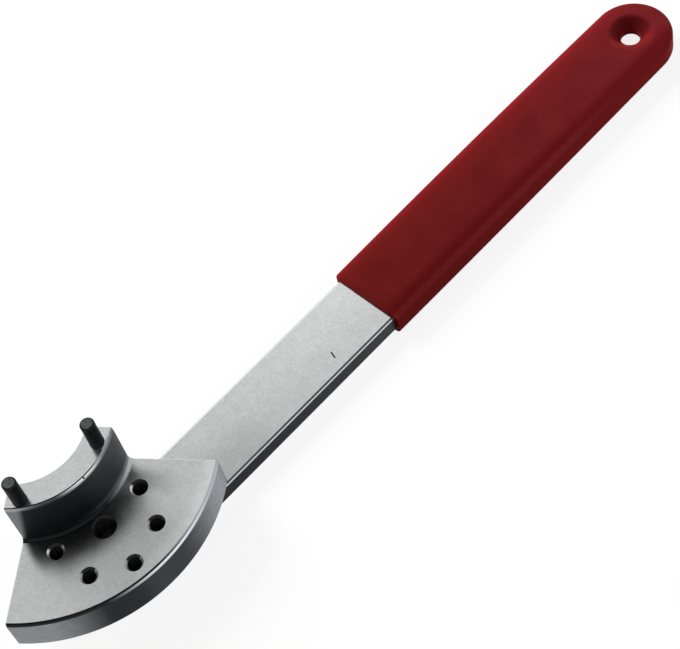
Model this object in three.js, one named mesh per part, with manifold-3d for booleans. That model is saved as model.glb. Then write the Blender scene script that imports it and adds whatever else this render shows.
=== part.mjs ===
// A two-pin belt tension wrench: a flat steel bar in a dipped vinyl grip, screwed under a quarter-ring head
// plate that carries a raised crescent with two drive pins.
// Millimetres. +X runs along the bar from the head to the grip, +Z points the way the drive pins do, and the
// origin is the middle of the part's footprint at its lowest face.
import * as THREE from "three";
import { mergeVertices } from "three/addons/utils/BufferGeometryUtils.js";
import Module from "manifold-3d";

const wasm = await Module();
wasm.setup();

// Bar
const barWidth = 20;
const barThickness = 5;
const barChamfer = 0.9; // round the top edge; the bottom edge is left sharp
const screwToHangHole = 203.4; // along the bar, from the centre screw's axis
const hangOffset = 0.6; // from the bar's middle line sideways to the hanging hole
const hangBore = 11; // in the bar

// Grip
const gripWall = 1.4; // from the bar's surface to the grip's surface
const gripEdgeRadius = 1.5;
const screwToGrip = 92.4; // along the bar, from the centre screw's axis to the grip's front edge
const hangMouth = 11.6; // diameter of the dimple in the vinyl over the hanging hole
const hangThroat = 6; // diameter of the hole through the vinyl
const hangWeb = 1.9; // thickness of the vinyl at the throat

// Head plate, a sector of a ring
const headAngle = 98; // degrees from the bar's direction to the middle line of the head
const headSweep = 90; // degrees
const headBore = 16.25; // radius of the ring's inner face
const plateThickness = 11;
const plateChamfer = 0.7;
const centreHoleGap = 4.7; // from the crescent's outer face to the centre hole's axis
const patternOffset = 0.6; // from the head's middle line sideways to the centre hole, towards the grip
const indexRadius = 13.1; // from the centre hole to each index hole
const indexCount = 5;
const indexStep = 360 / 7; // degrees between neighbouring index holes
const rimMargin = 5.1; // from the outermost index hole's axis to the plate's rim

// Crescent
const crescentWall = 6.85;
const crescentHeight = 16;
const crescentChamfer = 0.5;
const crescentFillet = 1.1;

// Drive pins
const pinDiameter = 3.8;
const pinHeight = 9; // above the crescent
const pinSeat = 5; // depth in the plate
const pinChamfer = 0.4;
const pinSpacing = 23;
const pinOffset = 0.35; // from the head's middle line sideways to the middle of the pair, away from the grip
const pinWall = 0.4; // metal between the outer pin and the crescent's outer face

// Countersunk socket screws and their tapped holes
const centreThread = { nominal: 6, core: 5, mouth: 6.2, head: 11.4, rim: 0.4, key: 4, keyDepth: 2 };
const indexThread = { nominal: 4, core: 3.3, mouth: 4.7, head: 7.6, rim: 0.3, key: 2.5, keyDepth: 1.4 };
const screwEngagement = 5; // thread length in the plate
const screwTip = 0.5; // chamfer at the thread's end

// Clearances
const gripSlack = 0.1; // between the bar and the grip
const pressGap = 0.05; // round a pressed pin
const threadGap = 0.05; // between a screw's core and its tapped hole
const screwGap = 0.2; // round a screw's shank and head in the bar
const endGap = 0.2; // under the end of a pin in its blind hole
const cutOver = 1; // how far a cutting tool runs past the face that it opens

// Facets
const sweepSteps = 40;
const roundSteps = 24;
const endSteps = 20;
const edgeSteps = 3;
const socketSides = 6;
const weldDistance = 1e-4; // points nearer than this are one point

// Derived sizes
const crescentRadius = headBore + crescentWall;
const centreHoleRadius = crescentRadius + centreHoleGap;
const headRadius = centreHoleRadius + indexRadius + rimMargin;
const outerPinRadius = crescentRadius - pinWall - pinDiameter / 2;
const pinReach = Math.sqrt(outerPinRadius ** 2 - (pinSpacing / 2 + pinOffset) ** 2);
const halfSweep = THREE.MathUtils.degToRad(headSweep / 2);
const barBottom = gripWall;
const plateBottom = barBottom + barThickness;
const gripHeight = barThickness + 2 * gripWall;
const headTurn = THREE.MathUtils.degToRad(-headAngle);

// Materials
const steel = new THREE.MeshStandardMaterial({ color: 0xb4b7b8, roughness: 0.5, metalness: 0.9 });
const blackSteel = new THREE.MeshStandardMaterial({ color: 0x33373a, roughness: 0.45, metalness: 0.8 });
const redVinyl = new THREE.MeshStandardMaterial({ color: 0x7d1a1d, roughness: 0.5, metalness: 0 });

// A closed geometry as a solid that can be joined and cut.
function solid(geometry) {
  const bare = geometry.clone();
  bare.deleteAttribute("normal");
  bare.deleteAttribute("uv");
  const merged = mergeVertices(bare, weldDistance);
  const vertProperties = merged.getAttribute("position").array;
  const triVerts = new Uint32Array(merged.getIndex().array);
  return new wasm.Manifold(new wasm.Mesh({ numProp: 3, vertProperties, triVerts }));
}

// A solid's surface as a flat-shaded geometry.
function surface(made) {
  const mesh = made.getMesh();
  const indexed = new THREE.BufferGeometry();
  indexed.setAttribute("position", new THREE.BufferAttribute(mesh.vertProperties, 3));
  indexed.setIndex(new THREE.BufferAttribute(mesh.triVerts, 1));
  const geometry = indexed.toNonIndexed();
  geometry.computeVertexNormals();
  return geometry;
}

function cut(made, tools) {
  return tools.reduce((left, tool) => left.subtract(tool), made);
}

function piece(name, made, material) {
  const mesh = new THREE.Mesh(surface(made), material);
  mesh.name = name;
  return mesh;
}

// A solid turned about Z from points [radius, z] that run upwards from axis to axis.
function turned(points, x = 0, y = 0) {
  const profile = points.map(([radius, z]) => new THREE.Vector2(radius, z));
  const geometry = new THREE.LatheGeometry(profile, roundSteps);
  geometry.rotateX(Math.PI / 2);
  geometry.translate(x, y, 0);
  return solid(geometry);
}

// A ring sector about Z: the closed section, points [radius, z] counterclockwise, swept through the head's
// angle.
function ringSector(section) {
  const count = section.length;
  const positions = [];
  for (let step = 0; step <= sweepSteps; step++) {
    const angle = -halfSweep + (2 * halfSweep * step) / sweepSteps;
    for (const [radius, z] of section) {
      positions.push(radius * Math.cos(angle), radius * Math.sin(angle), z);
    }
  }
  const index = [];
  for (let step = 0; step < sweepSteps; step++) {
    for (let i = 0; i < count; i++) {
      const a = step * count + i;
      const b = step * count + ((i + 1) % count);
      index.push(a, b + count, b, a, a + count, b + count);
    }
  }
  const outline = section.map(([radius, z]) => new THREE.Vector2(radius, z));
  const last = sweepSteps * count;
  for (const [a, b, c] of THREE.ShapeUtils.triangulateShape(outline, [])) {
    index.push(a, b, c, last + a, last + c, last + b);
  }
  const geometry = new THREE.BufferGeometry();
  geometry.setAttribute("position", new THREE.Float32BufferAttribute(positions, 3));
  geometry.setIndex(index);
  return solid(geometry);
}

// A straight bar with round ends about (fromX, 0) and (toX, 0), standing on z = bottom, its edges eased by a
// bevel.
function roundEndedBar(fromX, toX, width, bottom, height, bevel, bevelSegments) {
  const radius = width / 2;
  const outline = new THREE.Shape();
  outline.absarc(toX, 0, radius, -Math.PI / 2, Math.PI / 2, false);
  outline.absarc(fromX, 0, radius, Math.PI / 2, (3 * Math.PI) / 2, false);
  outline.closePath();
  const geometry = new THREE.ExtrudeGeometry(outline, {
    depth: height - 2 * bevel,
    bevelThickness: bevel,
    bevelSize: bevel,
    bevelOffset: -bevel,
    bevelSegments,
    curveSegments: endSteps,
  });
  geometry.translate(0, 0, bottom + bevel);
  return solid(geometry);
}

// The bar's own form, or the room for it: round at both ends and chamfered round its top edge.
function barForm(width, bottom, height) {
  const low = bottom - barChamfer;
  const bevelled = roundEndedBar(0, screwToHangHole, width, low, height + barChamfer, barChamfer, 1);
  return bevelled.trimByPlane([0, 0, 1], bottom);
}

// A tool that cuts a round hole from z = bottom to z = top.
function boreTool(radius, bottom, top, x, y) {
  return turned([[0, bottom], [radius, bottom], [radius, top], [0, top]], x, y);
}

// A tool for a tapped hole right through the plate, chamfered to its mouth at both faces.
function tappedTool(thread, x, y) {
  const core = thread.core / 2;
  const mouth = thread.mouth / 2;
  const chamfer = mouth - core;
  const points = [
    [0, -cutOver],
    [mouth + cutOver, -cutOver],
    [core, chamfer],
    [core, plateThickness - chamfer],
    [mouth + cutOver, plateThickness + cutOver],
    [0, plateThickness + cutOver],
  ];
  return turned(points, x, y);
}

// The index holes' places round the centre hole, in the head's own frame, from the bar's side round the rim.
function indexPlaces() {
  return Array.from({ length: indexCount }, (_, i) => {
    const angle = THREE.MathUtils.degToRad(((indexCount - 1) / 2 - i) * indexStep);
    return [centreHoleRadius + indexRadius * Math.cos(angle), patternOffset + indexRadius * Math.sin(angle)];
  });
}

function pinPlace(side) {
  return [pinReach, (side * pinSpacing) / 2 - pinOffset];
}

// Where the first index hole lies from the centre screw, in the bar's frame.
function indexScrewPlace() {
  const [x, y] = indexPlaces()[0];
  const place = new THREE.Vector2(x - centreHoleRadius, y - patternOffset);
  return place.rotateAround(new THREE.Vector2(), headTurn).toArray();
}

function makeHeadPlate() {
  const section = [
    [headBore, 0],
    [headRadius, 0],
    [headRadius, plateThickness - plateChamfer],
    [headRadius - plateChamfer, plateThickness],
    [headBore, plateThickness],
  ];
  const holes = indexPlaces().map(([x, y]) => tappedTool(indexThread, x, y));
  holes.push(tappedTool(centreThread, centreHoleRadius, patternOffset));
  for (const side of [-1, 1]) {
    const floor = plateThickness - pinSeat - endGap;
    holes.push(boreTool(pinDiameter / 2 + pressGap, floor, plateThickness + cutOver, ...pinPlace(side)));
  }
  return piece("head_plate", cut(ringSector(section), holes), steel);
}

function makePinCrescent() {
  const foot = crescentRadius + crescentFillet;
  const fillet = Array.from({ length: edgeSteps + 1 }, (_, i) => {
    const angle = (Math.PI / 2) * (1 + i / edgeSteps);
    return [foot + crescentFillet * Math.cos(angle), crescentFillet * (1 - Math.sin(angle))];
  });
  const section = [
    [headBore, 0],
    ...fillet,
    [crescentRadius, crescentHeight - crescentChamfer],
    [crescentRadius - crescentChamfer, crescentHeight],
    [headBore, crescentHeight],
  ];
  const holes = [-1, 1].map((side) =>
    boreTool(pinDiameter / 2 + pressGap, -cutOver, crescentHeight + cutOver, ...pinPlace(side)),
  );
  const crescent = piece("pin_crescent", cut(ringSector(section), holes), steel);
  crescent.position.z = plateThickness;
  return crescent;
}

function makeDrivePin(name, side) {
  const radius = pinDiameter / 2;
  const length = pinSeat + crescentHeight + pinHeight;
  const made = turned([
    [0, 0],
    [radius - pinChamfer, 0],
    [radius, pinChamfer],
    [radius, length - pinChamfer],
    [radius - pinChamfer, length],
    [0, length],
  ]);
  const pin = piece(name, made, blackSteel);
  pin.position.set(...pinPlace(side), plateThickness - pinSeat);
  return pin;
}

// A countersunk hole for a screw driven up through the bar, in the bar's own frame.
function countersinkTool(thread, x, y) {
  const shank = thread.nominal / 2 + screwGap;
  const head = thread.head / 2 + screwGap;
  const coneBottom = barBottom + thread.rim;
  const points = [
    [0, barBottom - cutOver],
    [head, barBottom - cutOver],
    [head, coneBottom],
    [shank, coneBottom + head - shank],
    [shank, plateBottom + cutOver],
    [0, plateBottom + cutOver],
  ];
  return turned(points, x, y);
}

function makeHandleBar() {
  const blank = barForm(barWidth, barBottom, barThickness);
  const tools = [
    countersinkTool(centreThread, 0, 0),
    countersinkTool(indexThread, ...indexScrewPlace()),
    boreTool(hangBore / 2, barBottom - cutOver, plateBottom + cutOver, screwToHangHole, hangOffset),
  ];
  return piece("handle_bar", cut(blank, tools), steel);
}

// The hole through the vinyl: a short throat that opens as a funnel to either face.
function hangHoleTool() {
  const throat = hangThroat / 2;
  const mouth = hangMouth / 2;
  const webBottom = (gripHeight - hangWeb) / 2;
  const points = [
    [0, -cutOver],
    [mouth, -cutOver],
    [mouth, 0],
    [throat, webBottom],
    [throat, webBottom + hangWeb],
    [mouth, gripHeight],
    [mouth, gripHeight + cutOver],
    [0, gripHeight + cutOver],
  ];
  return turned(points, screwToHangHole, hangOffset);
}

function makeHandleGrip() {
  const width = barWidth + 2 * gripWall;
  const skin = roundEndedBar(0, screwToHangHole, width, 0, gripHeight, gripEdgeRadius, edgeSteps);
  const room = barForm(barWidth + 2 * gripSlack, barBottom - gripSlack, barThickness + 2 * gripSlack);
  const liner = boreTool(hangBore / 2 - gripSlack, 0, gripHeight, screwToHangHole, hangOffset);
  const frontLength = screwToGrip + width;
  const front = new THREE.BoxGeometry(frontLength, width + 2 * cutOver, gripHeight + 2 * cutOver);
  front.translate(screwToGrip - frontLength / 2, 0, gripHeight / 2);
  return piece("handle_grip", cut(skin, [room.subtract(liner), hangHoleTool(), solid(front)]), redVinyl);
}

// A countersunk socket screw seen from its head at z = 0, its thread drawn at its core diameter in the plate.
function makeScrew(name, thread, [x, y]) {
  const head = thread.head / 2;
  const shank = thread.nominal / 2;
  const core = thread.core / 2 - threadGap;
  const length = barThickness + screwEngagement;
  const blank = turned([
    [0, 0],
    [head, 0],
    [head, thread.rim],
    [shank, thread.rim + head - shank],
    [shank, barThickness - screwGap],
    [core, barThickness - screwGap],
    [core, length - screwTip],
    [core - screwTip, length],
    [0, length],
  ]);
  const corner = thread.key / (2 * Math.cos(Math.PI / socketSides));
  const socket = new THREE.CylinderGeometry(corner, corner, 2 * thread.keyDepth, socketSides);
  socket.rotateX(Math.PI / 2);
  const screw = piece(name, cut(blank, [solid(socket)]), blackSteel);
  screw.position.set(x, y, barBottom);
  return screw;
}

const handle = new THREE.Group();
handle.add(makeHandleBar(), makeHandleGrip());
handle.add(makeScrew("centre_screw", centreThread, [0, 0]));
handle.add(makeScrew("index_screw", indexThread, indexScrewPlace()));

const head = new THREE.Group();
head.add(makeHeadPlate(), makePinCrescent());
head.add(makeDrivePin("drive_pin_left", -1), makeDrivePin("drive_pin_right", 1));
head.rotation.z = headTurn;
const centreHole = new THREE.Vector2(centreHoleRadius, patternOffset);
centreHole.rotateAround(new THREE.Vector2(), headTurn);
head.position.set(-centreHole.x, -centreHole.y, plateBottom);

const wrench = new THREE.Group();
wrench.add(handle, head);
const middle = new THREE.Box3().setFromObject(wrench, true).getCenter(new THREE.Vector3());
wrench.position.set(-middle.x, -middle.y, 0);

export default wrench;
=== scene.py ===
"""A two-pin belt tension wrench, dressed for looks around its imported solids.

Metres, in the frame of the part.
"""

import math

import bmesh
import bpy
from mathutils import Matrix, Quaternion, Vector


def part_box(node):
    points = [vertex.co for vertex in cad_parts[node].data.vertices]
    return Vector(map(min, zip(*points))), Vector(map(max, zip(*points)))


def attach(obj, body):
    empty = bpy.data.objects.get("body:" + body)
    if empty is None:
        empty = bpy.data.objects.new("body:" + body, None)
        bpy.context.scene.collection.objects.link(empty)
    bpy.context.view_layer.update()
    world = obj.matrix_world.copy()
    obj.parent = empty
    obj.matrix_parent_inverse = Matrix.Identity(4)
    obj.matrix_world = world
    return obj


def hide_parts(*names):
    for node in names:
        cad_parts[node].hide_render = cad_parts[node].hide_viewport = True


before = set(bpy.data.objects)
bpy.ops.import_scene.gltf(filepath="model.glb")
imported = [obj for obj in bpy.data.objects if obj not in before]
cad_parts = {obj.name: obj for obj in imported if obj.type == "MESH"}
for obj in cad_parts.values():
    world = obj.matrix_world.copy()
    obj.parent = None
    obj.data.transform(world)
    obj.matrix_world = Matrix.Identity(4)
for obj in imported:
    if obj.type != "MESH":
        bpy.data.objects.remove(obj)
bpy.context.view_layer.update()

MM = 0.001

# Head, a sector of a ring
head_turn = math.radians(-98)
half_sweep = math.radians(45)
bore_radius = 16.25 * MM
crescent_radius = 23.1 * MM
rim_radius = 46 * MM
rim_round = 0.7 * MM
rim_drop = 2 * MM
crescent_round = 0.45 * MM
crescent_drop = 2.4 * MM
crescent_fillet = 1.1 * MM
edge_ease = 0.2 * MM

# Tapped holes, in the head's own frame
centre_hole = Vector((27.8 * MM, 0.6 * MM))
index_radius = 13.1 * MM
index_count = 5
index_divisions = 7
index_step = math.radians(360 / index_divisions)
thread_flat = 0.15
centre_thread = {"core": 2.5 * MM, "nominal": 3 * MM, "mouth": 3.2 * MM, "pitch": 1 * MM}
index_thread = {"core": 1.65 * MM, "nominal": 2 * MM, "mouth": 2.35 * MM, "pitch": 0.7 * MM}

# Drive pins
pin_chamfer = 0.4 * MM
pin_ease = 0.12 * MM
press_gap = 0.05 * MM

# Screws
centre_screw = {"thread": centre_thread, "rim": 0.4 * MM, "key": 4 * MM, "key_depth": 2 * MM}
index_screw = {"thread": index_thread, "rim": 0.3 * MM, "key": 2.5 * MM, "key_depth": 1.4 * MM}
screw_gap = 0.2 * MM
thread_gap = 0.05 * MM
screw_tip = 0.5 * MM
socket_sides = 6

# Bar
bar_round = 1 * MM
bar_ease = 0.12 * MM
hang_offset = 0.6 * MM
hang_bore = 5.5 * MM

# Grip
grip_slack = 0.1 * MM
grip_crown = 0.35 * MM
grip_corner = 1.5 * MM
grip_rise = 0.4 * MM
grip_front_round = 1 * MM
grip_front_ease = 0.3 * MM
left_corner = 0.9 * MM
right_corner = 0.3 * MM
left_shoulder = 2.6 * MM
right_shoulder = 4.6 * MM
left_swell = 0.4 * MM
right_swell = 0.15 * MM
hang_mouth = 5.8 * MM
hang_throat = 2.8 * MM
hang_web = 1.6 * MM
hang_lip = 0.8 * MM
hang_lip_form = ((2, 1.8), (1, 0.8), (0.4, 0.3), (-0.4, 0))
web_rise = 0.3 * MM

# Wear
crescent_nick = {"radius": crescent_radius, "angle": math.radians(7.9), "size": 0.45 * MM}
plate_nick = {"radius": 30 * MM, "angle": half_sweep, "size": 0.4 * MM}
bar_scratch = {"place": (-16.2 * MM, -4.7 * MM), "length": 2.2 * MM, "width": 0.5 * MM, "turn": 1.26}

# Facets
sweep_steps = 96
round_steps = 48
end_steps = 48
side_steps = 16
turn_steps = 8
arc_steps = 8
nick_steps = 12
ease_segments = 3
cut_over = 1 * MM
crease = math.radians(32)

# Places from the frame
plate_low, plate_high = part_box("head_plate")
crescent_low, crescent_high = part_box("pin_crescent")
bar_low, bar_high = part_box("handle_bar")
grip_low, grip_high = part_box("handle_grip")
bar_half = (bar_high.y - bar_low.y) / 2
bar_middle = (bar_high.y + bar_low.y) / 2
bar_head_end = bar_low.x + bar_half
bar_hang_end = bar_high.x - bar_half
grip_half = (grip_high.y - grip_low.y) / 2
grip_top = grip_high.z + grip_rise
hang_place = Vector((bar_hang_end, bar_middle + hang_offset))


def middle_of(node):
    low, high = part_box(node)
    return (low + high) / 2


screw_axis = middle_of("centre_screw")
head_rotation = Matrix.Rotation(head_turn, 2)
ring_centre = screw_axis.xy - head_rotation @ centre_hole


def head_point(x, y, z):
    """A point of the head's own frame in the part's frame."""
    place = ring_centre + head_rotation @ Vector((x, y))
    return Vector((place.x, place.y, z))


def around(x, y, radius, angle, z):
    """A point at a radius and an angle about the vertical through (x, y)."""
    return Vector((x + radius * math.cos(angle), y + radius * math.sin(angle), z))


# Solids


def loft(name, rings):
    """A closed solid through rings of points, all of one count, capped at its first and its last ring."""
    count = len(rings[0])
    points = [point for ring in rings for point in ring]
    faces = [tuple(range(count)), tuple(range(len(points) - count, len(points)))]
    for start in range(0, len(points) - count, count):
        for i in range(count):
            j = (i + 1) % count
            faces.append((start + i, start + j, start + count + j, start + count + i))
    mesh = bpy.data.meshes.new(name)
    mesh.from_pydata(points, [], faces)
    shape = bmesh.new()
    shape.from_mesh(mesh)
    bmesh.ops.recalc_face_normals(shape, faces=shape.faces)
    shape.to_mesh(mesh)
    shape.free()
    piece = bpy.data.objects.new(name, mesh)
    bpy.context.scene.collection.objects.link(piece)
    return piece


def apply_modifiers(piece):
    evaluated = piece.evaluated_get(bpy.context.evaluated_depsgraph_get())
    mesh = bpy.data.meshes.new_from_object(evaluated)
    piece.modifiers.clear()
    piece.data = mesh


def combine(piece, others, operation):
    for other in others:
        boolean = piece.modifiers.new("combine", "BOOLEAN")
        boolean.operation = operation
        boolean.solver = "EXACT"
        boolean.material_mode = "TRANSFER"
        boolean.object = other
    apply_modifiers(piece)
    for other in others:
        bpy.data.objects.remove(other)


def cut(piece, cutters):
    combine(piece, cutters, "DIFFERENCE")


def ease(piece, width):
    """Rounds the piece's hard edges."""
    bevel = piece.modifiers.new("ease", "BEVEL")
    bevel.limit_method = "ANGLE"
    bevel.angle_limit = crease
    bevel.width = width
    bevel.segments = ease_segments
    apply_modifiers(piece)


def smooth(piece):
    """Smooth shading that keeps flat faces flat and creases hard."""
    piece.data.shade_smooth()
    piece.data.set_sharp_from_angle(angle=crease)
    normals = piece.modifiers.new("normals", "WEIGHTED_NORMAL")
    normals.keep_sharp = True
    apply_modifiers(piece)


def paint(piece, material):
    piece.data.materials.clear()
    piece.data.materials.append(material)
    return piece


def edge_arc(width, depth):
    """A rounded edge as pairs (inset, drop), from the side up to the face."""
    angles = [math.pi / 2 * step / arc_steps for step in range(arc_steps + 1)]
    return [(width * (1 - math.cos(angle)), depth * (1 - math.sin(angle))) for angle in angles]


def ring_sector(name, section):
    """The section, points (radius, z), swept through the head's angle."""
    rings = []
    for step in range(sweep_steps + 1):
        angle = half_sweep * (2 * step / sweep_steps - 1)
        rings.append([head_point(r * math.cos(angle), r * math.sin(angle), z) for r, z in section])
    return loft(name, rings)


def full_turn(steps):
    return [2 * math.pi * step / steps for step in range(steps)]


def revolved(name, place, heights, radius_at):
    """A solid about the vertical through place, whose radius at each height may change with the angle."""
    turn = full_turn(round_steps)
    rings = []
    for z in heights:
        rings.append([around(place.x, place.y, radius_at(angle, z), angle, z) for angle in turn])
    return loft(name, rings)


def turned(name, place, profile, steps=round_steps):
    """A solid turned about the vertical through place from points (radius, z)."""
    rings = []
    for radius, z in profile:
        rings.append([around(place.x, place.y, radius, angle, z) for angle in full_turn(steps)])
    return loft(name, rings)


def spaced(low, high, step):
    count = math.ceil((high - low) / step)
    return [low + (high - low) * i / count for i in range(count + 1)]


def thread_radius(thread, angle, z):
    """The radius of a tapped hole's wall: a helix between the core and the nominal radius."""
    phase = (z / thread["pitch"] - angle / (2 * math.pi)) % 1
    wave = 1 - abs(2 * phase - 1)
    flank = min(max((wave - thread_flat) / (1 - 2 * thread_flat), 0), 1)
    return thread["core"] + (thread["nominal"] - thread["core"]) * flank


def tapped_cutter(thread, place):
    def radius_at(angle, z):
        outside = max(z - plate_high.z, plate_low.z - z)
        return max(thread_radius(thread, angle, z), thread["mouth"] + outside)

    heights = spaced(plate_low.z - cut_over, plate_high.z + cut_over, thread["pitch"] / turn_steps)
    return revolved("cutter", place, heights, radius_at)


def nick_cutter(nick, z):
    """A small pit at a place on the head's edge, wide at the top."""
    size = nick["size"]
    place = head_point(nick["radius"] * math.cos(nick["angle"]), nick["radius"] * math.sin(nick["angle"]), z)
    return turned("cutter", place, [(size / 2, z - 2 * size), (size, z + size)], nick_steps)


def bore_cutter(place, radius, low, high):
    return turned("cutter", place, [(radius, low), (radius, high)])


# Head pieces


def index_places():
    """The index holes round the centre hole, from the bar's side."""
    places = []
    for i in range(index_count):
        angle = ((index_count - 1) / 2 - i) * index_step
        arm = Vector((index_radius * math.cos(angle), index_radius * math.sin(angle)))
        places.append(head_point(*(centre_hole + arm), 0))
    return places


def pin_bores(low, high):
    cutters = []
    for node in ("drive_pin_left", "drive_pin_right"):
        pin_low, pin_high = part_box(node)
        radius = (pin_high.y - pin_low.y) / 2 + press_gap
        cutters.append(bore_cutter(middle_of(node), radius, low, high))
    return cutters


def make_plate():
    top = plate_high.z
    section = [(bore_radius, top), (bore_radius, plate_low.z), (rim_radius, plate_low.z)]
    section += [(rim_radius - inset, top - drop) for inset, drop in edge_arc(rim_round, rim_drop)]
    plate = paint(ring_sector("head_plate_look", section), plate_steel)
    ease(plate, edge_ease)
    cutters = [paint(tapped_cutter(index_thread, place), mouth_steel) for place in index_places()]
    pin_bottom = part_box("drive_pin_left")[0].z
    dark_cutters = [tapped_cutter(centre_thread, screw_axis), nick_cutter(plate_nick, top)]
    dark_cutters += pin_bores(pin_bottom - screw_gap, top + cut_over)
    cut(plate, cutters + [paint(cutter, bore_steel) for cutter in dark_cutters])
    return plate


def make_crescent():
    foot = crescent_low.z
    top = crescent_high.z
    section = [(bore_radius, top), (bore_radius, foot), (crescent_radius, foot)]
    top_edge = edge_arc(crescent_round, crescent_drop)
    section += [(crescent_radius - inset, top - drop) for inset, drop in top_edge]
    crescent = paint(ring_sector("pin_crescent_look", section), crescent_steel)
    ease(crescent, edge_ease)
    inside = crescent_radius - crescent_fillet
    fillet_arc = edge_arc(crescent_fillet, crescent_fillet)
    hollow = [(crescent_radius + drop, foot + inset) for inset, drop in fillet_arc]
    fillet = ring_sector("fillet", [(inside, foot + crescent_fillet), (inside, foot), *hollow])
    combine(crescent, [fillet], "UNION")
    cutters = pin_bores(foot - cut_over, top + cut_over)
    cutters.append(nick_cutter(crescent_nick, top))
    cut(crescent, [paint(cutter, bore_steel) for cutter in cutters])
    return crescent


def make_pin(node):
    low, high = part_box(node)
    radius = (high.y - low.y) / 2
    profile = [
        (radius - pin_chamfer, low.z),
        (radius, low.z + pin_chamfer),
        (radius, high.z - pin_chamfer),
        (radius - pin_chamfer, high.z),
    ]
    pin = paint(turned(node + "_look", middle_of(node), profile), oxide)
    ease(pin, pin_ease)
    return pin


def make_screw(node, screw):
    """A countersunk socket screw, its head down, with a thread that fits its tapped hole."""
    low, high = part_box(node)
    place = middle_of(node)
    thread = screw["thread"]
    head = (high.y - low.y) / 2
    cone_top = low.z + screw["rim"] + head - thread["nominal"]
    shank_top = bar_high.z - screw_gap

    def radius_at(angle, z):
        if z < shank_top:
            return max(min(head, head + low.z + screw["rim"] - z), thread["nominal"])
        return min(thread_radius(thread, angle, z), thread["core"] + high.z - z) - thread_gap

    heights = [low.z, low.z + screw["rim"], cone_top]
    heights += spaced(shank_top, high.z - screw_tip, thread["pitch"] / turn_steps)
    heights.append(high.z)
    made = paint(revolved(node + "_look", place, heights, radius_at), oxide)
    corner = screw["key"] / 2 / math.cos(math.pi / socket_sides)
    socket = [(corner, low.z - cut_over), (corner, low.z + screw["key_depth"])]
    cut(made, [turned("cutter", place, socket, socket_sides)])
    return made


# Handle pieces


def stadium(from_x, to_x, half, z):
    """A level outline of two straight sides and two round ends, counterclockwise."""
    outline = []
    for centre_x, start in ((to_x, -math.pi / 2), (from_x, math.pi / 2)):
        for step in range(end_steps + 1):
            angle = start + math.pi * step / end_steps
            outline.append(around(centre_x, bar_middle, half, angle, z))
    return outline


def countersink_cutter(node, screw):
    low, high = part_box(node)
    head = (high.y - low.y) / 2 + screw_gap
    shank = screw["thread"]["nominal"] + screw_gap
    cone = low.z + screw["rim"]
    profile = [
        (head, low.z - cut_over),
        (head, cone),
        (shank, cone + head - shank),
        (shank, bar_high.z + cut_over),
    ]
    return turned("cutter", middle_of(node), profile)


def bar_form(name, slack):
    """The bar's own form, or the room for it: round ends and a rounded top edge."""
    half = bar_half + slack
    top = bar_high.z + slack
    layers = [(0, bar_low.z - slack)]
    layers += [(inset, top - drop) for inset, drop in edge_arc(bar_round, bar_round)]
    return loft(name, [stadium(bar_head_end, bar_hang_end, half - inset, z) for inset, z in layers])


def make_bar():
    bar = paint(bar_form("handle_bar_look", 0), bar_steel)
    ease(bar, bar_ease)
    cutters = [
        countersink_cutter("centre_screw", centre_screw),
        countersink_cutter("index_screw", index_screw),
        bore_cutter(hang_place, hang_bore, bar_low.z - cut_over, bar_high.z + cut_over),
    ]
    cut(bar, cutters)
    return bar


def grip_layers():
    """The grip's edge from its flat down to its side.

    Each layer is (share of the shoulder, inset of the corner, drop).
    """
    layers = []
    for step in range(arc_steps):
        share = 1 - step / arc_steps
        layers.append((share, grip_corner, grip_crown * (1 - share) ** 2))
    for inset, drop in reversed(edge_arc(grip_corner, grip_corner)):
        layers.append((0, inset, grip_crown + drop))
    return layers


def grip_outline(share, inset, front, z):
    """The grip's outline at one height.

    It has a straight front edge with eased corners, two sides that swell a little and a round end.
    """
    right = grip_half - inset - share * right_shoulder
    left = grip_half - inset - share * left_shoulder
    sides = [(step / side_steps, math.sin(math.pi * step / side_steps)) for step in range(1, side_steps)]
    outline = []
    for into, back in reversed(edge_arc(right_corner, right_corner)):
        outline.append(Vector((front + back, bar_middle - right + into, z)))
    for way, swell in sides:
        x = front + (bar_hang_end - front) * way
        outline.append(Vector((x, bar_middle - right - right_swell * swell, z)))
    for step in range(end_steps + 1):
        angle = math.pi * (step / end_steps - 0.5)
        half = right + (left - right) * step / end_steps
        outline.append(around(bar_hang_end, bar_middle, half, angle, z))
    for way, swell in reversed(sides):
        x = front + (bar_hang_end - front) * way
        outline.append(Vector((x, bar_middle + left + left_swell * swell, z)))
    for into, back in edge_arc(left_corner, left_corner):
        outline.append(Vector((front + back, bar_middle + left - into, z)))
    return outline


def funnel_cutter():
    """The hanging hole: a thin web of vinyl that opens as a funnel to either face.

    Its upper mouth is rounded through the points (inward, down) of hang_lip_form, in units of hang_lip.
    """
    middle = (grip_low.z + grip_high.z) / 2 + web_rise
    profile = [
        (hang_mouth, grip_low.z - cut_over),
        (hang_mouth, grip_low.z),
        (hang_throat, middle - hang_web / 2),
        (hang_throat, middle + hang_web / 2),
    ]
    for inward, down in hang_lip_form:
        profile.append((hang_mouth - inward * hang_lip, grip_top - down * hang_lip))
    widest = profile[-1][0]
    profile.append((widest, grip_top + cut_over))
    return turned("cutter", hang_place, profile, 2 * round_steps)


def make_grip():
    layers = grip_layers()
    rings = []
    for share, inset, drop in layers:
        front = grip_low.x + max(grip_front_ease - drop, 0)
        rings.append(grip_outline(share, inset, front, grip_low.z + drop))
    for share, inset, drop in reversed(layers):
        front = grip_low.x + max(grip_front_round - drop, 0)
        rings.append(grip_outline(share, inset, front, grip_top - drop))
    grip = paint(loft("handle_grip_look", rings), vinyl)
    room = bar_form("room", grip_slack)
    cut(room, [bore_cutter(hang_place, hang_bore - grip_slack, grip_low.z, grip_top)])
    cut(grip, [room, funnel_cutter()])
    return grip


# Materials


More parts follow.
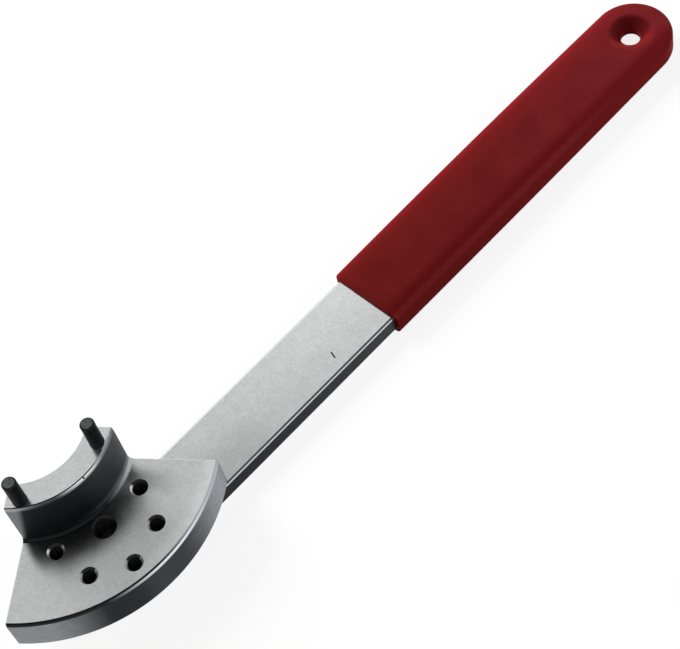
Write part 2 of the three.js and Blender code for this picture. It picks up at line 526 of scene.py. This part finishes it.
class Nodes:
    """Short calls for the nodes of one material."""

    def __init__(self, name):
        self.material = bpy.data.materials.new(name)
        self.material.use_nodes = True
        self.tree = self.material.node_tree
        self.shader = self.tree.nodes["Principled BSDF"]

    def link(self, value, socket):
        if isinstance(value, bpy.types.NodeSocket):
            self.tree.links.new(value, socket)
        else:
            socket.default_value = value

    def add(self, kind, inputs, output, **settings):
        node = self.tree.nodes.new(kind)
        for key, value in settings.items():
            setattr(node, key, value)
        for key, value in inputs.items():
            self.link(value, node.inputs[key])
        return node.outputs[output]

    def coordinates(self, output):
        return self.add("ShaderNodeTexCoord", {}, output)

    def axis(self, vector, letter):
        return self.add("ShaderNodeSeparateXYZ", {"Vector": vector}, letter)

    def maths(self, operation, *values):
        return self.add("ShaderNodeMath", dict(enumerate(values)), "Value", operation=operation)

    def times(self, first, second):
        return self.maths("MULTIPLY", first, second)

    def noise(self, size, detail=3.0, roughness=0.55, stretch=None):
        vector = self.coordinates("Object")
        if stretch:
            scaled = {"Vector": vector, "Scale": stretch}
            vector = self.add("ShaderNodeMapping", scaled, "Vector")
        inputs = {"Vector": vector, "Scale": 1 / size, "Detail": detail, "Roughness": roughness}
        return self.add("ShaderNodeTexNoise", inputs, "Fac")

    def step(self, value, low, high, at_low=0.0, at_high=1.0):
        """A smooth step from at_low to at_high as value goes from low to high."""
        inputs = {"Value": value, "From Min": low, "From Max": high, "To Min": at_low, "To Max": at_high}
        return self.add("ShaderNodeMapRange", inputs, "Result", interpolation_type="SMOOTHSTEP")

    def blend(self, share, first, second):
        inputs = {0: share, 6: first, 7: second}
        return self.add("ShaderNodeMix", inputs, 2, data_type="RGBA")

    def mix(self, share, first, second):
        return self.add("ShaderNodeMix", {0: share, 2: first, 3: second}, 0)

    def ring_angle(self):
        """Degrees round the ring from the head's middle line."""
        place = self.coordinates("Object")
        across = self.maths("SUBTRACT", self.axis(place, "X"), ring_centre.x)
        along = self.maths("SUBTRACT", self.axis(place, "Y"), ring_centre.y)
        turn = self.maths("SUBTRACT", self.maths("ARCTAN2", along, across), head_turn)
        return self.maths("DEGREES", turn)

    def ring_radius(self):
        """How far a point lies from the ring's axis."""
        inputs = {"Vector": self.coordinates("Object"), "Location": (*-ring_centre, 0), "Scale": (1, 1, 0)}
        arm = self.add("ShaderNodeMapping", inputs, "Vector")
        return self.add("ShaderNodeVectorMath", {0: arm}, "Value", operation="LENGTH")

    def across_normal(self, x, y):
        """How far the surface faces the level direction (x, y)."""
        inputs = {0: self.coordinates("Normal"), 1: (x, y, 0)}
        return self.add("ShaderNodeVectorMath", inputs, "Value", operation="DOT_PRODUCT")

    def scratch(self, place, length, width, turn):
        """One inside a straight mark about a place on the XY plane, and nought outside it."""
        inputs = {"Vector": self.coordinates("Object"), "Location": (*place, 0), "Rotation": (0, 0, turn)}
        local = self.add("ShaderNodeMapping", inputs, "Vector", vector_type="TEXTURE")
        along = self.maths("ABSOLUTE", self.axis(local, "X"))
        across = self.maths("ABSOLUTE", self.axis(local, "Y"))
        soft_sides = (0.6 * width, 0.3 * width)
        soft_ends = (0.55 * length, 0.45 * length)
        return self.times(self.step(across, *soft_sides), self.step(along, *soft_ends))

    def bump(self, height, depth, strength):
        inputs = {"Height": height, "Distance": depth, "Strength": strength}
        return self.add("ShaderNodeBump", inputs, "Normal")

    def finish(self, **inputs):
        for key, value in inputs.items():
            self.link(value, self.shader.inputs[key.replace("_", " ")])
        return self.material


def grey(level, blue=0.0):
    return (level * (1 - blue), level, level * (1 + blue), 1)


# Ramps are written (from, to) or (from, to, value at from, value at to), with angles in degrees.

# The part of a noise's range that its ramps use
noise_range = (0.3, 0.7)
grain_range = (0.25, 0.75)

# Steel
mottle_size = 2.8 * MM
mottle_spread = (0.965, 1.035)
grain_size = 0.55 * MM
grain_spread = (0.9, 1.1)
streak_size = 0.5 * MM
streak_stretch = (0.25, 0.25, 2.5)
streak_spread = (0.8, 1.2)
flat_facing = (0.972, 0.992)
under_facing = (0.2, -0.2)
under_level = 0.5
# Edges and lines that face the back are painted light: a painted highlight
back_facing = (-0.02, 0.1)
back_edge_painted_light = 0.85
# Widths of the painted highlight and the painted dark reflection line along a rounded edge
bright_width = 0.08
dark_width = 0.1
side_rough = 0.5
edge_rough = 0.3
face_rough = (0.17, 0.21)
# Sides are painted dark with a bluish tint: a painted reflection
side_reflection_tint = (0.94, 1, 1.05, 1)
face_tint = (0.99, 1, 1, 1)
edge_tint = grey(0.6)


def steel(name, face, side, line, edge, bands, rough_range=face_rough):
    """Blasted plated steel.

    Face, side, line and edge give the grey level of its flats, of its sides, which are painted dark as a
    reflection, and of the dark line and the bright line along a rounded top edge, which are a painted
    reflection and a painted highlight. Edges that face the back are painted light. Bands tell how far up the
    surface faces where the bright line and the dark line begin.
    """
    nodes = Nodes(name)
    up = nodes.axis(nodes.coordinates("Normal"), "Z")
    flat = nodes.step(nodes.maths("ABSOLUTE", up), *flat_facing)
    mottle = nodes.noise(mottle_size, detail=4)
    grain = nodes.noise(grain_size, roughness=0.7)
    streaks = nodes.noise(streak_size, stretch=streak_stretch)

    face_level = nodes.mix(nodes.step(up, *under_facing), face(nodes), under_level)
    face_level = nodes.times(face_level, nodes.step(mottle, *noise_range, *mottle_spread))
    face_level = nodes.times(face_level, nodes.step(grain, *grain_range, *grain_spread))
    # The sides' level is a painted dark reflection
    side_reflection_level = nodes.times(side(nodes), nodes.step(streaks, *grain_range, *streak_spread))
    # Painted light on edges and lines that face the back
    back = nodes.step(nodes.across_normal(0, 1), *back_facing)
    edge_highlight_level = nodes.mix(back, edge(nodes), back_edge_painted_light)
    line_reflection_level = nodes.mix(back, line(nodes), back_edge_painted_light)
    # A painted highlight along the rounded top edge, with a painted dark reflection line between it and the
    # flat
    bright_from, dark_from = bands
    bright = nodes.step(up, bright_from, bright_from + bright_width)
    dark = nodes.step(up, dark_from, dark_from + dark_width)
    level = nodes.mix(bright, side_reflection_level, edge_highlight_level)
    level = nodes.mix(dark, level, line_reflection_level)
    level = nodes.mix(flat, level, face_level)

    tint = nodes.blend(nodes.maths("MAXIMUM", flat, back), side_reflection_tint, face_tint)
    colour = nodes.add("ShaderNodeVectorMath", {0: tint, 1: level}, "Vector", operation="MULTIPLY")
    flat_rough = nodes.step(mottle, *noise_range, *rough_range)
    rough = nodes.mix(flat, nodes.mix(bright, side_rough, edge_rough), flat_rough)
    return nodes.finish(Base_Color=colour, Metallic=1.0, Roughness=rough, Specular_Tint=edge_tint)


def make_plate_steel():
    """Paler towards the plate's ends, with painted shade from the crescent beside it and a painted highlight
    towards the right of its rim. Its side and the lines along its rim are a painted reflection and a
    painted highlight, dark along the left of its rim.
    """
    # The face is painted darker in its middle and paler towards its ends: a painted shade from the crescent
    left_face = (-2, -30, 0.385, 0.49)
    right_face = (10, 32, 0.385, 0.49)
    # Painted shade from the crescent beside its foot
    shade_near = (6, 14, 26.6 * MM, 25.4 * MM)
    shade_far = (6, 14, 35.5 * MM, 33.6 * MM)
    shade_level = (-4, 26, 0.13, 0.4)
    shade_slant = 1.2 / MM
    shade_left = (-75.4, -69)
    shade_right = (30, 20)
    # More painted shade beside the crescent towards the right end
    beside_left = (26, 32)
    beside_right = (42, 34)
    beside_shade = (25 * MM, 41 * MM, 0.5, 1)
    # A painted highlight on the face near the rim, from the middle to the right end
    rim_width = (41 * MM, 45 * MM)
    rim_highlight = (-10, 15, 0, 0.2)
    # The side is painted dark as a reflection, lighter towards the ends
    left_wall = (-34, -10, 0.3, 0.008)
    middle_wall = (-5, 5, 0.03, 0.06)
    right_wall = (14, 42, 0, 0.37)
    # A painted dark reflection line and a painted highlight along the rim, dark on the left
    dark_line = (4, 30, 0.01, 0.42)
    left_edge = (-14, 10, 0.02, 0.85)
    right_edge = (16, 36, 0.85, 0.5)
    bands = (0.11, 0.37)
    plate_rough = (0.28, 0.33)

    def face(nodes):
        angle = nodes.ring_angle()
        radius = nodes.ring_radius()
        level = nodes.maths("MAXIMUM", nodes.step(angle, *left_face), nodes.step(angle, *right_face))
        near = nodes.step(angle, *shade_near)
        far = nodes.step(angle, *shade_far)
        shade = nodes.step(radius, near, far, nodes.step(angle, *shade_level), 1)
        slant = nodes.maths("SUBTRACT", angle, nodes.times(radius, shade_slant))
        share = nodes.times(nodes.step(slant, *shade_left), nodes.step(angle, *shade_right))
        level = nodes.times(level, nodes.mix(share, 1.0, shade))
        share = nodes.times(nodes.step(angle, *beside_left), nodes.step(angle, *beside_right))
        level = nodes.times(level, nodes.mix(share, 1.0, nodes.step(radius, *beside_shade)))
        lift = nodes.times(nodes.step(radius, *rim_width), nodes.step(angle, *rim_highlight))
        return nodes.times(level, nodes.maths("ADD", lift, 1.0))

    def side(nodes):
        angle = nodes.ring_angle()
        level = nodes.maths("MAXIMUM", nodes.step(angle, *left_wall), nodes.step(angle, *middle_wall))
        return nodes.maths("ADD", level, nodes.step(angle, *right_wall))

    def line(nodes):
        return nodes.step(nodes.ring_angle(), *dark_line)

    def edge(nodes):
        angle = nodes.ring_angle()
        return nodes.maths("MINIMUM", nodes.step(angle, *left_edge), nodes.step(angle, *right_edge))

    return steel("plate_steel", face, side, line, edge, bands, plate_rough)


def make_crescent_steel():
    """Pale on top. Its outer wall is painted dark as a reflection, lighter towards the right and at the left
    end, with a painted highlight along the foot. Along its top edge run a painted dark reflection line and a
    painted highlight.
    """
    top_level = 0.53
    above_foot = (2 * MM, 8 * MM)
    # A painted highlight along the fillet at the foot, dark on the left
    foot_painted_light = (10, 46, 0.012, 0.43)
    # The outer wall is painted dark as a reflection, lighter towards the right and at the left end
    wall = (-12, 40, 0.029, 0.125)
    right_end = (36, 46, 0, 0.07)
    left_end = (-41.4, -46.4, 0, 0.22)
    left_tilt = 0.55 / MM
    fillet_highlight = (-16, 44, 0.012, 0.36)
    fillet_highlight_height = (2.8 * MM, 1 * MM)
    fillet_highlight_radius = (20 * MM, 22 * MM)
    # A painted dark reflection line and a painted highlight along the top edge
    dark_line = (14, 24, 0.008, 0.25)
    left_edge = (-20, -42, 0.08, 0.35)
    middle_edge = (-14, 6, 0.08, 1)
    right_edge = (12, 28, 1, 0.28)
    bands = (0.06, 0.3)

    def height(nodes):
        return nodes.maths("SUBTRACT", nodes.axis(nodes.coordinates("Object"), "Z"), crescent_low.z)

    def from_foot(nodes, foot, top):
        """From the level at the crescent's foot to that at its top."""
        return nodes.mix(nodes.step(height(nodes), *above_foot), foot, top)

    def foot(nodes):
        return nodes.step(nodes.ring_angle(), *foot_painted_light)

    def face(nodes):
        return from_foot(nodes, foot(nodes), top_level)

    def side(nodes):
        angle = nodes.ring_angle()
        level = nodes.maths("ADD", nodes.step(angle, *wall), nodes.step(angle, *right_end))
        tilted = nodes.maths("SUBTRACT", angle, nodes.times(height(nodes), left_tilt))
        level = nodes.maths("ADD", level, nodes.step(tilted, *left_end))
        # A painted highlight low on the wall, just above the foot
        low = nodes.step(height(nodes), *fillet_highlight_height)
        low = nodes.times(low, nodes.step(nodes.ring_radius(), *fillet_highlight_radius))
        return nodes.maths("ADD", level, nodes.times(low, nodes.step(angle, *fillet_highlight)))

    def line(nodes):
        return from_foot(nodes, foot(nodes), nodes.step(nodes.ring_angle(), *dark_line))

    def edge(nodes):
        angle = nodes.ring_angle()
        top = nodes.maths("MAXIMUM", nodes.step(angle, *middle_edge), nodes.step(angle, *left_edge))
        top = nodes.maths("MINIMUM", top, nodes.step(angle, *right_edge))
        return from_foot(nodes, side(nodes), top)

    return steel("crescent_steel", face, side, line, edge, bands)


def make_bar_steel():
    """Paler towards the grip and towards the left, and scratched once. Its sides are painted dark as a
    reflection, and the lines along its top edge are a painted dark reflection and a painted highlight.
    """
    middle_level = (-80 * MM, 10 * MM, 0.475, 0.62)
    right_share = (-52 * MM, -36 * MM, 0.8, 0.93)
    left_share = 1.05
    slope = (-7 * MM, 7 * MM)
    scratch_level = 0.05
    # The side is painted dark as a reflection
    wall = (-60 * MM, 10 * MM, 0.034, 0.062)
    line_reflection_level = 0.06
    edge_highlight_level = 0.6
    bands = (0.4, 0.7)

    def face(nodes):
        place = nodes.coordinates("Object")
        along = nodes.axis(place, "X")
        across = nodes.maths("SUBTRACT", nodes.axis(place, "Y"), bar_middle)
        share = nodes.step(across, *slope, nodes.step(along, *right_share), left_share)
        level = nodes.times(nodes.step(along, *middle_level), share)
        return nodes.mix(nodes.scratch(**bar_scratch), level, scratch_level)

    def side(nodes):
        return nodes.step(nodes.axis(nodes.coordinates("Object"), "X"), *wall)

    def line(nodes):
        return line_reflection_level

    def edge(nodes):
        return edge_highlight_level

    return steel("bar_steel", face, side, line, edge, bands)


# Holes
# Threads and bore walls are painted nearly black: a painted shade in the holes
thread_shade_level = 0.006
# The mouths' dark level is a painted shade
mouth_shade_level = 0.02
bore_rough = 0.4
mouth_heights = (plate_high.z - 0.75 * MM, plate_high.z - 0.65 * MM)


def highlit_mouth(nodes):
    """The level of the index holes' mouths.

    Their left sides take a painted highlight, most of all near the crescent, and their right sides a weaker
    one that fades round the ring.
    """
    left_way = (0.95, -0.31)
    left_facing = (0.34, 0.56)
    left_highlight = (34 * MM, 30 * MM, 0.35, 0.65)
    right_way = (-0.748, 0.664)
    right_facing = (0.44, 0.58)
    right_highlight = (-4, 24, 0.3, 0.03)
    left = nodes.step(nodes.ring_radius(), *left_highlight)
    left = nodes.step(nodes.across_normal(*left_way), *left_facing, mouth_shade_level, left)
    right = nodes.step(nodes.ring_angle(), *right_highlight)
    right = nodes.step(nodes.across_normal(*right_way), *right_facing, mouth_shade_level, right)
    return nodes.maths("MAXIMUM", left, right)


def shaded_mouth(nodes):
    return mouth_shade_level


def make_bore_steel(name, mouth_level):
    """Tapped threads painted dark, a painted shade in the hole, with a mouth of its own level."""
    nodes = Nodes(name)
    mouth = nodes.step(nodes.axis(nodes.coordinates("Object"), "Z"), *mouth_heights)
    level = nodes.mix(mouth, thread_shade_level, mouth_level(nodes))
    return nodes.finish(Base_Color=level, Metallic=1.0, Roughness=bore_rough, Specular_Tint=edge_tint)


def make_black_oxide():
    """Black oxide, lighter on its level faces."""
    patch_size = 0.9 * MM
    side_colours = (grey(0.01, 0.08), grey(0.022, 0.08))
    face_colours = (grey(0.065), grey(0.11))
    face_facing = (0.9, 0.98)
    rough_range = (0.3, 0.42)

    nodes = Nodes("black_oxide")
    up = nodes.maths("ABSOLUTE", nodes.axis(nodes.coordinates("Normal"), "Z"))
    mottle = nodes.noise(patch_size, detail=4)
    dark = nodes.blend(nodes.step(mottle, *noise_range), *side_colours)
    lighter_face = nodes.blend(nodes.step(mottle, *noise_range), *face_colours)
    colour = nodes.blend(nodes.step(up, *face_facing), dark, lighter_face)
    rough = nodes.step(mottle, *noise_range, *rough_range)
    return nodes.finish(Base_Color=colour, Metallic=1.0, Roughness=rough, Specular_Tint=edge_tint)


def make_vinyl():
    """Dipped vinyl.

    It is painted brighter where it turns to the left and deeper where it turns to the right, a painted light
    and a painted shade, with a painted sheen along its right edge and painted light on its right flank. It
    is painted lighter along its front edge, and is lighter towards its round end. The far wall of its dimple
    takes a painted shade, and its near wall and its throat a painted light.
    """
    cloud_size = 9 * MM
    cloud_colours = ((0.13, 0.0105, 0.0095, 1), (0.155, 0.013, 0.012, 1))
    # Painted light and shade across the grip: brighter on the left slope and edge, deeper on the right
    # slope, a painted sheen on the right edge and painted light on the right flank
    left_slope = (2 * MM, 9 * MM)
    left_slope_painted_light = (0.18, 0.0128, 0.0122, 1)
    left_edge = (8.6 * MM, 10.9 * MM)
    left_edge_painted_highlight = (0.275, 0.016, 0.017, 1)
    right_slope = (-5.5 * MM, -8.7 * MM)
    right_slope_painted_shade = (0.111, 0.0062, 0.0065, 1)
    right_edge = (-9.5 * MM, -11.2 * MM)
    right_edge_fade = (60 * MM, 112 * MM, 1, 0.2)
    right_edge_painted_sheen = (0.175, 0.0165, 0.0165, 1)
    flank_side = (-9 * MM, -10 * MM)
    flank_facing = (0.35, 0.1)
    flank_painted_light = (0.149, 0.0056, 0.0055, 1)
    # The dimple's far wall takes a painted shade, its near lip and its throat a painted light
    far_wall = (0.5, 0.87, 0)
    lip_radius = (hang_mouth + 1.9 * MM, hang_mouth + 0.4 * MM)
    light_reach = (0.5 * MM, -3.5 * MM)
    light_colour = (0.205, 0.0145, 0.013, 1)
    dimple_radius = (hang_mouth + 0.7 * MM, hang_mouth - 0.9 * MM)
    shade_reach = (-4.5 * MM, 0.5 * MM)
    shade_colour = (0.091, 0.0064, 0.0055, 1)
    throat_radius = (hang_throat + 0.15 * MM, hang_throat + 0.02 * MM)
    throat_painted_light = (0.24, 0.012, 0.012, 1)
    # A painted light along the front edge, which lies in shade
    front_edge = (grip_low.x + 1.1 * MM, grip_low.x + 0.7 * MM)
    front_painted_light = 1.2
    end_lift = (1.45, 1.5, 2.1, 1)
    end_reach = (grip_low.x, grip_low.x + 200 * MM)
    pore_size = 0.35 * MM
    pore_depth = 0.012 * MM
    pore_strength = 0.4
    rough_range = (0.42, 0.52)
    gloss = 0.01

    nodes = Nodes("red_vinyl")
    cloud = nodes.noise(cloud_size)
    pores = nodes.noise(pore_size, detail=2)
    place = nodes.coordinates("Object")
    along = nodes.axis(place, "X")
    side = nodes.maths("SUBTRACT", nodes.axis(place, "Y"), bar_middle)
    up = nodes.axis(nodes.coordinates("Normal"), "Z")
    flank = nodes.times(nodes.step(up, *flank_facing), nodes.step(side, *flank_side))
    # A painted sheen along the right edge, fading towards the round end
    sheen = nodes.times(nodes.step(side, *right_edge), nodes.step(along, *right_edge_fade))

    inputs = {"Vector": place, "Location": (*-hang_place, 0), "Scale": (1, 1, 0)}
    from_hole = nodes.add("ShaderNodeMapping", inputs, "Vector")
    radius = nodes.add("ShaderNodeVectorMath", {0: from_hole}, "Value", operation="LENGTH")
    inputs = {0: from_hole, 1: far_wall}
    reach = nodes.add("ShaderNodeVectorMath", inputs, "Value", operation="DOT_PRODUCT")
    # Painted light on the dimple's near lip, painted shade on its far wall
    light = nodes.times(nodes.step(radius, *lip_radius), nodes.step(reach, *light_reach))
    shade = nodes.times(nodes.step(radius, *dimple_radius), nodes.step(reach, *shade_reach))

    colour = nodes.blend(nodes.step(cloud, *noise_range), *cloud_colours)
    for share, shift in (
        (nodes.step(side, *left_slope), left_slope_painted_light),
        (nodes.step(side, *left_edge), left_edge_painted_highlight),
        (nodes.step(side, *right_slope), right_slope_painted_shade),
        (sheen, right_edge_painted_sheen),
        (flank, flank_painted_light),
        (light, light_colour),
        (shade, shade_colour),
        (nodes.step(radius, *throat_radius), throat_painted_light),
    ):
        colour = nodes.blend(share, colour, shift)
    # Painted light along the front edge; lighter towards the round end
    lift = nodes.blend(nodes.step(along, *front_edge), grey(1), grey(front_painted_light))
    lift = nodes.blend(nodes.step(along, *end_reach), lift, end_lift)
    colour = nodes.add("ShaderNodeVectorMath", {0: colour, 1: lift}, "Vector", operation="MULTIPLY")
    rough = nodes.step(pores, *noise_range, *rough_range)
    bump = nodes.bump(pores, pore_depth, pore_strength)
    return nodes.finish(Base_Color=colour, Roughness=rough, Specular_IOR_Level=gloss, Normal=bump)


# Stage
floor_size = 4.0
floor_drop = 0.05 * MM
floor_glow = 0.84
floor_albedo = 0.2
world_light = 0.26
lamp_distance = 1.2
lamp_size = 0.7
key_lamp = {"direction": (-0.1, 0.78, 0.6), "power": 13}
fill_lamp = {"direction": (0.7, -0.65, 0.3), "power": 8}


def background_rays(tree):
    """One for rays that see the background, from the camera or in a reflection.

    It is nought for the rays that light the object.
    """
    path = tree.nodes.new("ShaderNodeLightPath")
    seen = path.outputs["Is Camera Ray"]
    for output in ("Is Glossy Ray", "Is Transmission Ray"):
        either = tree.nodes.new("ShaderNodeMath")
        either.operation = "MAXIMUM"
        tree.links.new(seen, either.inputs[0])
        tree.links.new(path.outputs[output], either.inputs[1])
        seen = either.outputs["Value"]
    return seen


def make_floor():
    bpy.ops.mesh.primitive_plane_add(size=floor_size, location=(0, 0, -floor_drop))
    floor = bpy.context.object
    floor.name = "floor"
    material = bpy.data.materials.new("pale_floor")
    material.use_nodes = True
    tree = material.node_tree
    tree.nodes.remove(tree.nodes["Principled BSDF"])
    diffuse = tree.nodes.new("ShaderNodeBsdfDiffuse")
    diffuse.inputs["Color"].default_value = grey(floor_albedo)
    emission = tree.nodes.new("ShaderNodeEmission")
    strength = tree.nodes.new("ShaderNodeMath")
    strength.operation = "MULTIPLY"
    strength.inputs[1].default_value = floor_glow
    tree.links.new(background_rays(tree), strength.inputs[0])
    tree.links.new(strength.outputs["Value"], emission.inputs["Strength"])
    both = tree.nodes.new("ShaderNodeAddShader")
    tree.links.new(diffuse.outputs["BSDF"], both.inputs[0])
    tree.links.new(emission.outputs["Emission"], both.inputs[1])
    tree.links.new(both.outputs["Shader"], tree.nodes["Material Output"].inputs["Surface"])
    floor.data.materials.append(material)


def make_world():
    world = bpy.data.worlds.new("studio")
    bpy.context.scene.world = world
    world.use_nodes = True
    tree = world.node_tree
    strength = tree.nodes.new("ShaderNodeMapRange")
    strength.inputs["To Min"].default_value = world_light
    tree.links.new(background_rays(tree), strength.inputs["Value"])
    background = tree.nodes["Background"]
    background.inputs["Color"].default_value = grey(1)
    tree.links.new(strength.outputs["Result"], background.inputs["Strength"])


def make_lamp(name, direction, power):
    """A soft lamp that faces the object and isn't seen in its reflections."""
    lamp = bpy.data.lights.new(name, "AREA")
    lamp.size = lamp_size
    lamp.energy = power
    holder = bpy.data.objects.new(name, lamp)
    towards = Vector(direction).normalized()
    holder.location = towards * lamp_distance
    holder.rotation_mode = "QUATERNION"
    holder.rotation_quaternion = towards.to_track_quat("Z", "Y")
    holder.visible_glossy = False
    bpy.context.scene.collection.objects.link(holder)


def make_camera():
    """The photograph's view, from the point that it is centred on."""
    aim = Vector((-8.24 * MM, 0.35 * MM, bar_high.z))
    distance = 498.4 * MM
    bearing = math.radians(-121.824)
    elevation = math.radians(55.877)
    roll = math.radians(-17.575)
    focal_length = 100.53
    sensor_width = 36
    level = math.cos(elevation)
    back = Vector((level * math.cos(bearing), level * math.sin(bearing), math.sin(elevation)))
    lens = bpy.data.cameras.new("camera")
    lens.sensor_fit = "HORIZONTAL"
    lens.sensor_width = sensor_width
    lens.lens = focal_length
    lens.clip_start = 10 * MM
    camera = bpy.data.objects.new("camera", lens)
    camera.location = aim + back * distance
    camera.rotation_mode = "QUATERNION"
    camera.rotation_quaternion = (-back).to_track_quat("-Z", "Y") @ Quaternion((0, 0, 1), roll)
    bpy.context.scene.collection.objects.link(camera)
    bpy.context.scene.camera = camera


def dress(piece, node):
    """Smooths the piece, hangs it from the root body and hides the node's imported part."""
    smooth(piece)
    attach(piece, "root")
    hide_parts(node)


make_camera()
make_world()
make_floor()
make_lamp("key", **key_lamp)
make_lamp("fill", **fill_lamp)

plate_steel = make_plate_steel()
crescent_steel = make_crescent_steel()
bar_steel = make_bar_steel()
mouth_steel = make_bore_steel("mouth_steel", highlit_mouth)
bore_steel = make_bore_steel("bore_steel", shaded_mouth)
oxide = make_black_oxide()
vinyl = make_vinyl()

dress(make_plate(), "head_plate")
dress(make_crescent(), "pin_crescent")
dress(make_bar(), "handle_bar")
dress(make_grip(), "handle_grip")
for pin_node in ("drive_pin_left", "drive_pin_right"):
    dress(make_pin(pin_node), pin_node)
dress(make_screw("centre_screw", centre_screw), "centre_screw")
dress(make_screw("index_screw", index_screw), "index_screw")

bpy.context.scene.view_settings.view_transform = "Standard"
